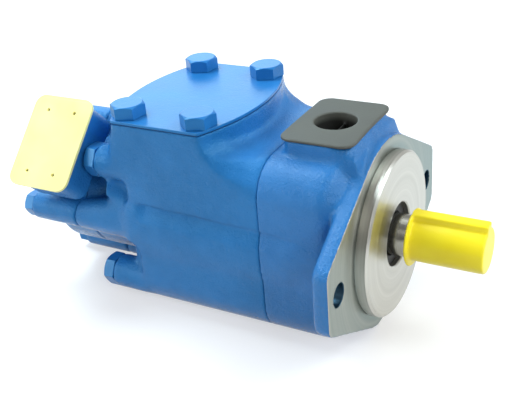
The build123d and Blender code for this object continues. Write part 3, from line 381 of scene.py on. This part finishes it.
def grid_mesh(name, *grids, close_u=False, close_v=False):
    """One mesh from grids of points (rows, columns, 3), in metres: each cell is a face. close_u joins
    the last row to the first, close_v the last column."""
    points = []
    faces = []
    count = 0
    for grid in grids:
        rows, columns = grid.shape[:2]
        index = count + np.arange(rows * columns).reshape(rows, columns)
        here = index if close_u else index[:-1]
        up = np.roll(index, -1, 0) if close_u else index[1:]
        if close_v:
            quads = [here, np.roll(here, -1, 1), np.roll(up, -1, 1), up]
        else:
            quads = [here[:, :-1], here[:, 1:], up[:, 1:], up[:, :-1]]
        faces += np.stack([quad.ravel() for quad in quads], 1).tolist()
        points.append(grid.reshape(-1, 3))
        count += rows * columns
    mesh = bpy.data.meshes.new(name)
    mesh.from_pydata(np.concatenate(points), [], faces)
    mesh.validate()
    return mesh


def welded(node):
    """A copy of the node's mesh in which the corners that lie on each other are one."""
    shell = bmesh.new()
    shell.from_mesh(nodes[node].data)
    bmesh.ops.remove_doubles(shell, verts=shell.verts, dist=WELD)
    mesh = bpy.data.meshes.new(node)
    shell.to_mesh(mesh)
    shell.free()
    return mesh


def recalc(mesh):
    """Merges the corners that lie on each other and turns all faces outwards."""
    shell = bmesh.new()
    shell.from_mesh(mesh)
    bmesh.ops.remove_doubles(shell, verts=shell.verts, dist=WELD)
    bmesh.ops.recalc_face_normals(shell, faces=shell.faces)
    shell.to_mesh(mesh)
    shell.free()
    return mesh


def add_blob(mesh, centre, radii, columns=24, rows=13):
    """Adds a closed egg-shaped surface to the mesh, which the remesh then unites with it."""
    turn = np.linspace(0, 2 * math.pi, columns, endpoint=False)
    rise = np.linspace(-math.pi / 2, math.pi / 2, rows)
    shape = np.stack([np.outer(np.cos(rise), np.cos(turn)), np.outer(np.cos(rise), np.sin(turn)),
                      np.outer(np.sin(rise), np.ones(columns))], 2)
    extra = recalc(grid_mesh("filler", (np.array(centre) + shape * np.array(radii)) * MM, close_v=True))
    shell = bmesh.new()
    shell.from_mesh(mesh)
    shell.from_mesh(extra)
    shell.to_mesh(mesh)
    shell.free()
    bpy.data.meshes.remove(extra)


def remeshed(mesh, voxel):
    """The closed mesh rebuilt on an even grid of that pitch."""
    blank = bpy.data.objects.new("blank", mesh)
    bpy.context.scene.collection.objects.link(blank)
    step = blank.modifiers.new("Remesh", "REMESH")
    step.mode = "VOXEL"
    step.voxel_size = voxel * MM
    step.use_smooth_shade = True
    view = bpy.context.evaluated_depsgraph_get()
    result = bpy.data.meshes.new_from_object(blank.evaluated_get(view))
    bpy.data.objects.remove(blank)
    return result


def points_of(mesh):
    """The corners of a mesh as rows of an array."""
    flat = np.empty(len(mesh.vertices) * 3, np.float32)
    mesh.vertices.foreach_get("co", flat)
    return flat.reshape(-1, 3).astype(float)


def relax(points, edges, weight, rounds):
    """Each round moves every point towards the mean of its neighbours, by its weight: corners and
    hollows get the radius of a casting, and flat faces stay flat."""
    first, second = edges.T
    count = len(points)
    neighbours = np.bincount(first, minlength=count) + np.bincount(second, minlength=count)
    for _ in range(rounds):
        total = np.stack([np.bincount(first, points[second, axis], count)
                          + np.bincount(second, points[first, axis], count) for axis in range(3)], 1)
        points = points + weight[:, None] * (total / neighbours[:, None] - points)
    return points


def softened(node, voxel, passes, settle=None, blobs=()):
    """The node's shell on an even grid. Each pass, (weight of the points in mm, rounds), relaxes it, and
    settle(points before, points after, in mm) puts machined faces back and adds the low relief."""
    shell = welded(node)
    for centre, radii in blobs:
        add_blob(shell, centre, radii)
    mesh = remeshed(shell, voxel)
    before = points_of(mesh) / MM
    edges = np.empty(len(mesh.edges) * 2, np.int32)
    mesh.edges.foreach_get("vertices", edges)
    after = before
    for weight_of, rounds in passes:
        after = relax(after, edges.reshape(-1, 2), weight_of(before), rounds)
    if settle:
        after = settle(before, after)
    low, high = (np.array(corner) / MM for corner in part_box(node))
    after = np.clip(after, low, high)
    mesh.vertices.foreach_set("co", (after * MM).astype(np.float32).ravel())
    mesh.update()
    mesh.shade_smooth()
    return mesh


def edges_rounded(obj, bevel, angle=SHARP):
    """Smooth shading with creases kept, and edges that turn more than angle rounded bevel mm wide."""
    obj.data.shade_smooth()
    obj.data.set_sharp_from_angle(angle=angle)
    step = obj.modifiers.new("Bevel", "BEVEL")
    step.width = bevel * MM
    step.segments = 2
    step.limit_method = "ANGLE"
    step.angle_limit = angle
    step.harden_normals = True
    step.miter_outer = "MITER_ARC"


# ---------------------------------------------------------------- the castings

LOOSE = 0.5                  # weight of open skin in a round of relaxing
CREASE_WIDTH = 5             # the surface falls away from the crease over this width
CREASE_BACK = (6, 18)        # and comes back between these distances from it
CREASE_TOP = (84, 89)        # heights between which the crease dies out
CREASE_SIDE = (44, 60)       # distances from the middle plane between which it reaches its full depth
STEP_TOP = -0.4              # a ledge steps in between these heights below its edge
STEP_FOOT = 1.0
STEP_RUN = 13                # and slopes out again over this height
SIDE_Y = 58                  # the side walls lie further out than this
WALL_LINE = [(-114.9, 90.6), (-113.6, 80), (-110.2, 72.5), (-104.5, 65.5), (-95.3, 61.5), (-84, 58.3),
             (SEAM_X, 56)]   # (x, z) from the top of the inlet box down to the joint
WALL_CREASE = 1.8            # how deep the surface falls away along it
FRONT_LEDGE = 1.3            # how far the ledges step in
HOUSING_LEDGE = 4.4
COVER_PAD = 91               # the cover's slanting outlet pad lies this far from the axis


def near(values, target, reach):
    """Whether the values are closer to target than reach."""
    return np.abs(values - target) < reach


def ease(values, start, end):
    """0 at start, 1 at end, smooth between."""
    share = np.clip((values - start) / (end - start), 0, 1)
    return share * share * (3 - 2 * share)


def between(values, start, full, leave, end):
    """1 from full to leave, 0 before start and past end, smooth between."""
    return ease(values, start, full) * (1 - ease(values, leave, end))


def firm_near(loose, *faces):
    """The weight loose, but less on machined faces. Each of them is (weight there, the points' distance
    from it, distance up to which that weight holds, distance from which the skin is loose)."""
    weight = loose
    for firm, away, start, end in faces:
        weight = np.minimum(weight, firm + (loose - firm) * ease(away, start, end))
    return weight


def push_in(before, after, depth, beyond):
    """Moves the points that lie further out than beyond, left and right, inwards by depth."""
    y = before[:, 1]
    side = np.abs(y) > beyond
    after[side, 1] -= (np.sign(y) * depth)[side]
    return after


def side_step(before, after, edge_z, fade, depth):
    """A low ledge along both sides: at edge_z the wall steps in by depth, and slopes out again
    below it. fade is 1 along the ledge and 0 past its ends."""
    below = edge_z - before[:, 2]
    shape = ease(below, STEP_TOP, STEP_FOOT) * (1 - np.clip((below - STEP_FOOT) / STEP_RUN, 0, 1)) * fade
    return push_in(before, after, depth * shape, SIDE_Y)


def carve(before, after, line, depth):
    """A crisp crease along line, (x, z) points on both sides: above it the surface falls away by depth
    and comes back further up. It fades in at the start of the line, is half as deep at its end, and
    dies out under the top and where the wall turns away from the side."""
    x, y, z = before.T
    at = np.stack([x, z], 1)
    line = np.array(line, float)
    far = np.full(len(at), np.inf)
    sign = np.ones(len(at))
    for a, b in zip(line[:-1], line[1:]):
        run = b - a
        share = np.clip(((at - a) @ run) / (run @ run), 0, 1)
        away = at - a - share[:, None] * run
        length = np.hypot(*away.T)
        cross = run[0] * away[:, 1] - run[1] * away[:, 0]
        closer = length < far
        far = np.where(closer, length, far)
        sign = np.where(closer, np.sign(cross), sign)
    start = line[0, 0]
    end = line[-1, 0]
    shape = np.where(sign > 0, np.clip(far / CREASE_WIDTH, 0, 1) * (1 - ease(far, *CREASE_BACK)), 0)
    shape *= ease(x, start - 1, start + 2) * (1 - 0.5 * ease(x, end - 20, end))
    shape *= 1 - ease(z, *CREASE_TOP)
    shape *= ease(np.abs(y), *CREASE_SIDE)
    return push_in(before, after, depth * shape, CREASE_SIDE[0])


def front_weight(p):
    """Flange face, joint and outlet pad stay firm."""
    return firm_near(LOOSE, (0.12, -p[:, 0], 1.5, 5), (0.06, p[:, 0] - SEAM_X, 1.2, 4),
                     (0.15, PAD_TOP - p[:, 2], 1, 4))


def front_valley(p):
    """The hollow between the section and the back of the flange, which is filled with a wide radius."""
    x, y, z = p.T
    return LOOSE * between(x, -27, -21, -12.5, -8) * ease(np.hypot(y, z), 60, 64)


def front_settle(before, after):
    """Bolt holes go back to their radius, and the pilot is pressed flat into the flange face,
    because a turned ring stands for it."""
    x = before[:, 0]
    for side in (-1, 1):
        middle = np.array([side * HOLE_Y, 0])
        off = before[:, 1:] - middle
        reach = np.hypot(*off.T)
        wall = near(reach, HOLE_R, 0.9) & (x > FLANGE_BACK - 0.5) & (x < 0.5)
        after[wall, 1:] = middle + off[wall] * (HOLE_R / reach[wall])[:, None]
    after = side_step(before, after, 22 - 0.06 * (x - SEAM_X), 1 - ease(x, -60, -26), FRONT_LEDGE)
    after[near(x, 0, 0.6), 0] = 0
    after[:, 0] = np.minimum(after[:, 0], 0)
    return after


def housing_weight(p):
    """Joint, top of the inlet box and seat of the rear cover stay firm."""
    return firm_near(LOOSE, (0.06, SEAM_X - p[:, 0], 1.2, 4), (0.12, BOX_TOP - p[:, 2], 1.5, 5),
                     (0.08, p[:, 0] - COVER_X, 0.8, 3))


def housing_rear(p):
    """The bosses and pockets at the rear run into each other with wide radii."""
    x, y, z = p.T
    return LOOSE * between(x, -215, -209, -182, -172) * ease(np.hypot(y, z), 52, 56) * (1 - ease(z, 70, 76))


def housing_settle(before, after):
    """The crease from the inlet box down to the joint, and the ledge along the side, which is deepest
    at the rear."""
    x = before[:, 0]
    after = carve(before, after, WALL_LINE, WALL_CREASE)
    fade = ease(x, -181, -172) * (1 - 0.65 * ease(x, -150, SEAM_X))
    return side_step(before, after, 25 - 0.03 * (x + 170), fade, HOUSING_LEDGE)


def cover_weight(p):
    """Joint and slanting outlet pad stay firm."""
    outwards = (p[:, 2] - p[:, 1]) * math.sqrt(0.5)
    return firm_near(0.45, (0.12, COVER_PAD - outwards, 1, 4), (0.08, COVER_X - p[:, 0], 0.8, 3))


def cast(name, node, material, voxel, passes, settle=None, blobs=()):
    """One painted casting in place of its node."""
    piece(name, softened(node, voxel, passes, settle, blobs), material, body_of[node], [node])


# the lower end of the pocket at the rear of each side is filled with an egg-shaped blob: centre and radii
pocket_fillers = [((-203, side * 55, 24), (11, 10, 8)) for side in (-1, 1)]
cast("front_casting", "front_body", "blue_front", voxel=1.25,
     passes=[(front_valley, 40), (front_weight, 12)], settle=front_settle)
cast("housing_casting", "inlet_housing", "blue_cast", voxel=1.5,
     passes=[(housing_rear, 14), (housing_weight, 12)], settle=housing_settle, blobs=pocket_fillers)
cast("cover_casting", "rear_cover", "blue_cast", voxel=1.2, passes=[(cover_weight, 8)])


# ---------------------------------------------------------------- the turned pilot

PILOT_R = 63.5
PILOT_BORE = 24.5
PILOT_CHAMFER = 1.7
UNDERCUT = 0.9               # depth of the groove at the root of the pilot, and chamfer of the bore
UNDERCUT_END = 1.2           # x where the groove is back at the full radius
ROOT = -0.2                  # the ring starts this far inside the flange


def revolved(name, profile, sides=160):
    """A closed profile of (x, radius) points turned round the X axis."""
    angle = np.linspace(0, 2 * math.pi, sides, endpoint=False)
    x, radius = np.array(profile, float).T
    along = np.broadcast_to(x, (sides, len(x)))
    ring = np.stack([along, np.outer(np.cos(angle), radius), np.outer(np.sin(angle), radius)], 2)
    return grid_mesh(name, ring * MM, close_u=True, close_v=True)


pilot = recalc(revolved("pilot_ring", [
    (ROOT, PILOT_BORE), (ROOT, PILOT_R - UNDERCUT), (UNDERCUT, PILOT_R - UNDERCUT), (UNDERCUT_END, PILOT_R),
    (PILOT_END - PILOT_CHAMFER, PILOT_R), (PILOT_END, PILOT_R - PILOT_CHAMFER),
    (PILOT_END, PILOT_BORE + UNDERCUT), (PILOT_END - UNDERCUT, PILOT_BORE)]))
edges_rounded(piece("pilot_ring", pilot, "steel", "pump_body"), 0.12, math.radians(20))


# ---------------------------------------------------------------- plugs, sleeve and plates

PLUG_X = -38.3               # middle of the grey plug's plate, half its length and half its width
PLUG_HALF_X = 28.5
PLUG_HALF_Y = 41


def plug_weight(p):
    """All of the plug gives way alike."""
    return np.full(len(p), 0.4)


def plug_settle(before, after):
    """The thin plate is a little warped: its near left corner dips and the right edge waves."""
    x, y, z = before.T
    plate = ease(z, PAD_TOP - 0.6, PAD_TOP + 0.2)
    u = (x - PLUG_X) / PLUG_HALF_X
    v = y / PLUG_HALF_Y
    right_half = np.clip(u, 0, 1)
    corner = np.clip(-u, 0, 1) ** 2 * np.clip(-v, 0, 1) ** 2
    lift = 0.25 * np.sin(2.6 * v + 0.4) * right_half - 0.45 * corner
    after[:, 2] += plate * np.minimum(lift, 0)
    after[:, 0] -= plate * 0.9 * right_half * (0.5 + 0.5 * np.cos(3.2 * v))
    return after


def sleeve_weight(p):
    """Round over the raised strip above the key and the closed end, with the hollow beside it kept."""
    x, y, z = p.T
    strip = LOOSE * ease(np.hypot(y, z), 18.6, 20.5)
    closed_end = LOOSE * ease(x, 70, 73)
    return np.maximum(strip, np.maximum(closed_end, 0.12))


def dressed(name, node, material, bevel):
    """The node's own shape with rounded edges."""
    mesh = welded(node)
    shell = bmesh.new()
    shell.from_mesh(mesh)
    bmesh.ops.dissolve_limit(shell, angle_limit=FLAT, verts=shell.verts, edges=shell.edges)
    shell.to_mesh(mesh)
    shell.free()
    edges_rounded(piece(name, mesh, material, body_of[node], [node]), bevel)


bore_plug = softened("outlet_1_plug", 0.7, [(plug_weight, 6)], plug_settle)
piece("front_port_plug", bore_plug, "grey_plastic", body_of["outlet_1_plug"],
      ["outlet_1_plug"])
shaft_cap = softened("shaft_sleeve", 0.6, [(sleeve_weight, 26)])
piece("shaft_cap", shaft_cap, "yellow", body_of["shaft_sleeve"], ["shaft_sleeve"])
dressed("inlet_cover_plate", "inlet_blanking_plate", "blue_smooth", 0.4)
dressed("rear_port_cap", "outlet_2_cap", "pale_yellow", 0.5)


# ---------------------------------------------------------------- bolts

M16 = dict(across=24, head=10, shank=8)      # across the flats, height of the head, radius of the shank
M12 = dict(across=19, head=9, shank=6)
TOP_CIRCLE = 0.95            # radius of the flat top, as a share of half the width across the flats
CONE_DROPS = (0.0, 0.35, 0.7, 1.05, 1.4, 1.8)    # levels under the top, along the cone that cuts the corners
CONE_RUN = math.tan(math.radians(60))            # outwards along it for each mm down
HEAD_CHAMFER = 0.3           # at the underside of the head
TIP_CHAMFER = 1              # at the end of the shank
BOLT_STEP = 3.75             # degrees between the columns of a bolt's grid


def islands(node):
    """The separate solids of a node, each as an array of its corners in mm."""
    shell = bmesh.new()
    shell.from_mesh(nodes[node].data)
    bmesh.ops.remove_doubles(shell, verts=shell.verts, dist=WELD)
    reached = set()
    found = []
    for first in shell.verts:
        if first in reached:
            continue
        reached.add(first)
        group = [first]
        for vert in group:                       # it grows while it is walked through
            for edge in vert.link_edges:
                other = edge.other_vert(vert)
                if other not in reached:
                    reached.add(other)
                    group.append(other)
        found.append(np.array([tuple(vert.co) for vert in group]) / MM)
    shell.free()
    return sorted(found, key=lambda solid: tuple(solid.mean(0).round(1)))


def bolt_grid(solid, axis, across, head, shank):
    """A hexagon bolt in place of one solid, as a grid of level and angle: its section is the hexagon
    cut by a 30 degree cone at the top, and a circle along the shank."""
    side = np.array([0, 1, 0]) if axis[2] == 0 else np.array([1, 0, 0])
    other = np.cross(axis, side)
    angle = np.radians(np.arange(0, 360, BOLT_STEP))
    flat = across / 2
    hexagon = flat / np.cos(np.radians(np.degrees(angle) % 60 - 30))
    circle = np.ones(len(angle))
    levels = solid @ axis
    high = levels.max()
    end = levels.min()
    top = solid[near(levels, high, 0.01)]
    middle = top.mean(0) - axis * (top.mean(0) @ axis)
    off = (top - middle) @ np.stack([side, other], 1)
    corner = off[np.argmax(np.hypot(*off.T))]
    turned = angle + math.atan2(corner[1], corner[0])
    rows = [(high, 0 * circle)]
    rows += [(high - drop, np.minimum(hexagon, TOP_CIRCLE * flat + drop * CONE_RUN)) for drop in CONE_DROPS]
    rows += [(high - head + HEAD_CHAMFER, hexagon), (high - head, hexagon - HEAD_CHAMFER),
             (high - head, shank * circle), (end + TIP_CHAMFER, shank * circle),
             (end, (shank - TIP_CHAMFER) * circle), (end, 0 * circle)]
    return np.array([middle + axis * level + np.outer(radius * np.cos(turned), side)
                     + np.outer(radius * np.sin(turned), other) for level, radius in rows])


def hex_bolts(name, node, axis, size):
    """A bolt of that size for each solid of the node; axis points out of their heads."""
    grids = [bolt_grid(solid, np.array(axis, float), **size) * MM for solid in islands(node)]
    mesh = recalc(grid_mesh(name, *grids, close_v=True))
    bolts = piece(name, mesh, "blue_smooth", body_of[node], [node])
    edges_rounded(bolts, 0.3, math.radians(25))


hex_bolts("inlet_bolts", "inlet_plate_bolts", (0, 0, 1), M16)
hex_bolts("housing_bolts", "body_bolts", (-1, 0, 0), M16)
hex_bolts("end_cover_bolts", "cover_bolts", (-1, 0, 0), M12)


# ---------------------------------------------------------------- finishes of the other solids

# the first word that is in a node's name says what it is made of
WORDS = [("seal", "rubber"), ("gasket", "gasket"), ("bush", "bronze"), ("cage", "bronze"),
         ("front_body", "blue_front"), ("inlet_housing", "blue_cast"), ("rear_cover", "blue_cast"),
         ("body_bolts", "blue_smooth"), ("cover_bolts", "blue_smooth"), ("inlet_", "blue_smooth"),
         ("outlet_1_plug", "grey_plastic"), ("outlet_2_cap", "pale_yellow"), ("sleeve", "yellow"),
         ("vane", "dark_steel"), ("screws", "dark_steel"), ("circlip", "dark_steel"), ("", "shaft_steel")]
for node, obj in nodes.items():
    finish = next(kind for word, kind in WORDS if word in node)
    obj.data.materials.clear()
    obj.data.materials.append(MATERIALS[finish])


# ---------------------------------------------------------------- camera

SENSOR = 36.0                # width of the sensor
LENS = 60.741                # focal length
SHIFT = (0.00973, -0.00915)  # of the sensor's width
AZIMUTH = 30.77              # degrees round from the -Y side towards the shaft
ELEVATION = 27.40
ROLL = -5.10                 # the camera leans by this
DISTANCE = 654.02            # from the middle of the flange face, then to the right and up
SIDEWAYS = -100.61
UPWARDS = 27.48

azimuth, elevation, roll = (math.radians(degrees) for degrees in (AZIMUTH, ELEVATION, ROLL))
back = Vector((math.sin(azimuth) * math.cos(elevation), -math.cos(azimuth) * math.cos(elevation),
               math.sin(elevation)))
level_right = Vector((math.cos(azimuth), math.sin(azimuth), 0))
level_up = back.cross(level_right)
right = math.cos(roll) * level_right + math.sin(roll) * level_up
up = math.cos(roll) * level_up - math.sin(roll) * level_right
eye = (DISTANCE * back + SIDEWAYS * right + UPWARDS * up) * MM

lens = bpy.data.cameras.new("camera")
lens.sensor_width = SENSOR
lens.lens = LENS
lens.shift_x, lens.shift_y = SHIFT
lens.clip_start = 0.01
camera = bpy.data.objects.new("camera", lens)
camera.matrix_world = Matrix(((right.x, up.x, back.x, eye.x), (right.y, up.y, back.y, eye.y),
                              (right.z, up.z, back.z, eye.z), (0, 0, 0, 1)))
bpy.context.scene.collection.objects.link(camera)
bpy.context.scene.camera = camera
bpy.context.scene.view_settings.view_transform = "Standard"


# ---------------------------------------------------------------- floor and light

FLOOR_HALF = 6.0             # metres
FLOOR_GLOW = 0.52            # light that the floor gives of itself to the camera and to glossy surfaces
BACKDROP = 1.05              # brightness of the world as the camera sees it
FRONT_FROM = 0.75            # cosine to the camera's direction from which the world is at its dimmest
FRONT_LIGHT = 0.17
REAR_FROM = -0.15            # and that below which it is at its brightest
REAR_LIGHT = 0.66

low, high = cad_box
corners = [[(x, y, low.z) for y in (-FLOOR_HALF, FLOOR_HALF)] for x in (-FLOOR_HALF, FLOOR_HALF)]
floor = bpy.data.objects.new("studio_floor", grid_mesh("studio_floor", np.array(corners)))
bpy.context.scene.collection.objects.link(floor)
floor_material = bpy.data.materials.new("studio_floor_white")
floor_material.use_nodes = True
tree = floor_material.node_tree
shader = tree.nodes["Principled BSDF"]
shader.inputs["Base Color"].default_value = (0.50, 0.50, 0.50, 1)
shader.inputs["Roughness"].default_value = 0.55
shader.inputs["Emission Color"].default_value = (*WHITE, 1)
path = put(tree, "ShaderNodeLightPath")
bright = math_node(tree, "MAXIMUM", path.outputs["Is Camera Ray"], path.outputs["Is Glossy Ray"])
tree.links.new(math_node(tree, "MULTIPLY", bright, FLOOR_GLOW), shader.inputs["Emission Strength"])
floor.data.materials.append(floor_material)

# the backdrop is clean white; the light that it gives is dim where the camera stands and full behind
# the pump
world = bpy.data.worlds.new("studio")
bpy.context.scene.world = world
world.use_nodes = True
sky = world.node_tree
towards = put(sky, "ShaderNodeVectorMath", operation="DOT_PRODUCT")
sky.links.new(put(sky, "ShaderNodeTexCoord").outputs["Generated"], towards.inputs[0])
towards.inputs[1].default_value = back
glow = spread(sky, towards.outputs["Value"], FRONT_LIGHT, REAR_LIGHT, FRONT_FROM, REAR_FROM)
seen = put(sky, "ShaderNodeLightPath").outputs["Is Camera Ray"]
sky.links.new(math_node(sky, "MAXIMUM", glow, math_node(sky, "MULTIPLY", seen, BACKDROP)),
              sky.nodes["Background"].inputs["Strength"])
sky.nodes["Background"].inputs["Color"].default_value = (*WHITE, 1)


def softbox(name, place, target, size, radiance, tint=WHITE):
    """A rectangular area light of that size in metres, whose face has that radiance."""
    data = bpy.data.lights.new(name, "AREA")
    data.shape = "RECTANGLE"
    data.size, data.size_y = size
    data.energy = radiance * math.pi * size[0] * size[1]
    data.color = tint
    obj = bpy.data.objects.new(name, data)
    obj.location = place
    obj.rotation_euler = (Vector(target) - Vector(place)).to_track_quat("-Z", "Y").to_euler()
    bpy.context.scene.collection.objects.link(obj)


middle = (low + high) / 2
softbox("top_light", (-0.75, 0.06, 1.22), middle, (0.6, 0.5), 14.5, (0.80, 0.94, 1.0))
softbox("back_light", (-1.50, 1.30, 0.85), middle, (1.7, 1.0), 2.2, (0.55, 0.84, 1.0))
softbox("left_light", (-1.45, -1.2, 0.75), middle, (0.8, 0.8), 7.0)
softbox("right_light", (1.05, 0.45, 1.20), middle, (0.8, 0.8), 9.0, (0.88, 0.96, 1.0))
softbox("key_light", (1.3, -0.95, 0.95), middle, (0.7, 0.7), 7.5)
